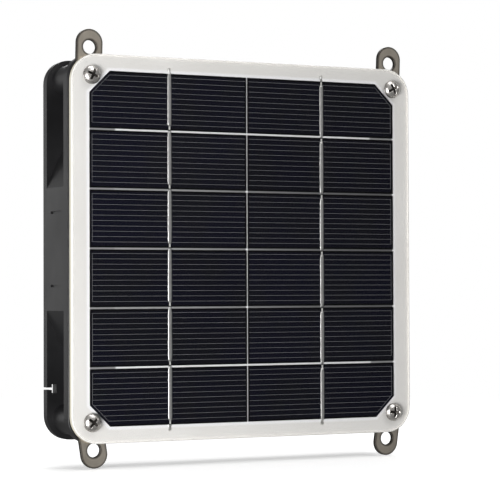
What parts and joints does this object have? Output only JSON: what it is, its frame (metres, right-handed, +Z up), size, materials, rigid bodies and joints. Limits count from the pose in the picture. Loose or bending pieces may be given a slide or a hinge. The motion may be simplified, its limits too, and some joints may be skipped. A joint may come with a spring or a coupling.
{
  "type": "solar attic fan",
  "caption": "Square axial fan with a flat solar panel over its intake side, hanging ears at the corners and a brushless motor.",
  "frame": {"origin": "centre of the rear bolt pattern, where the fan axis meets the rear mounting face", "axes": "+Z up, the solar panel faces -Y, the fan turns about Y and +Y is out of the outlet side"},
  "size_m": [0.14, 0.031, 0.1579],
  "materials": {
    "black_plastic": "satin",
    "white_board": "satin",
    "clear_cover": "clear",
    "silicon_cell": "polished",
    "tinned_copper": "satin",
    "nickel_steel": "satin",
    "screw_chrome": "polished",
    "bright_steel": "polished",
    "core_steel": "satin",
    "turned_brass": "polished",
    "sintered_bronze": "satin",
    "magnet_rubber": "matte",
    "natural_nylon": "satin",
    "enamelled_copper": "gloss",
    "green_laminate": "gloss",
    "chip_epoxy": "matte",
    "bright_aluminium": "satin",
    "red_insulation": "gloss",
    "black_insulation": "gloss"
  },
  "bodies": {
    "fan_housing": {"fan_frame": "black_plastic", "bearing_tube": "turned_brass", "thrust_pad": "natural_nylon", "sleeve_bearing": "sintered_bronze", "oil_washer": "natural_nylon", "stator_core": "core_steel", "rear_bobbin": "natural_nylon", "front_bobbin": "natural_nylon", "motor_board": "green_laminate", "driver_chip": "chip_epoxy", "capacitor": "bright_aluminium", "winding_pins": "tinned_copper", "motor_foil": "bright_aluminium", "panel_board": "white_board", "panel_cover": "clear_cover", "ribbons_left": "tinned_copper", "ribbons_right": "tinned_copper", "panel_screws": "screw_chrome", "lead_red": "red_insulation", "lead_black": "black_insulation", "solder_red": "tinned_copper", "solder_black": "tinned_copper", "stator_coil_1": "enamelled_copper", "stator_coil_2": "enamelled_copper", "stator_coil_3": "enamelled_copper", "stator_coil_4": "enamelled_copper", "cell_row1_left": "silicon_cell", "cell_row1_right": "silicon_cell", "cell_row2_left": "silicon_cell", "cell_row2_right": "silicon_cell", "cell_row3_left": "silicon_cell", "cell_row3_right": "silicon_cell", "cell_row4_left": "silicon_cell", "cell_row4_right": "silicon_cell", "cell_row5_left": "silicon_cell", "cell_row5_right": "silicon_cell", "cell_row6_left": "silicon_cell", "cell_row6_right": "silicon_cell"},
    "rotor": {"impeller": "black_plastic", "rotor_yoke": "bright_steel", "rotor_magnet": "magnet_rubber", "shaft_insert": "turned_brass", "motor_shaft": "bright_steel", "shaft_clip": "natural_nylon"},
    "ear_top_left_swivel": {"ear_top_left": "nickel_steel"},
    "ear_top_right_swivel": {"ear_top_right": "nickel_steel"},
    "ear_bottom_left_swivel": {"ear_bottom_left": "nickel_steel"},
    "ear_bottom_right_swivel": {"ear_bottom_right": "nickel_steel"}
  },
  "joints": [
    {"name": "fan_spin", "type": "hinge", "parent": "fan_housing", "child": "rotor", "pos_m": [0, -0.0155, 0], "axis": [0, 1, 0], "continuous": true},
    {"name": "top_left_ear_swivel", "type": "hinge", "parent": "fan_housing", "child": "ear_top_left_swivel", "pos_m": [-0.06225, -0.0258, 0.06225], "axis": [0, 1, 0], "range_deg": [-91.5, 88.5]},
    {"name": "top_right_ear_swivel", "type": "hinge", "parent": "fan_housing", "child": "ear_top_right_swivel", "pos_m": [0.06225, -0.0258, 0.06225], "axis": [0, 1, 0], "range_deg": [-92, 88]},
    {"name": "bottom_left_ear_swivel", "type": "hinge", "parent": "fan_housing", "child": "ear_bottom_left_swivel", "pos_m": [-0.06225, -0.0258, -0.06225], "axis": [0, 1, 0], "range_deg": [-81, 99]},
    {"name": "bottom_right_ear_swivel", "type": "hinge", "parent": "fan_housing", "child": "ear_bottom_right_swivel", "pos_m": [0.06225, -0.0258, -0.06225], "axis": [0, 1, 0], "range_deg": [-98, 82]}
  ]
}
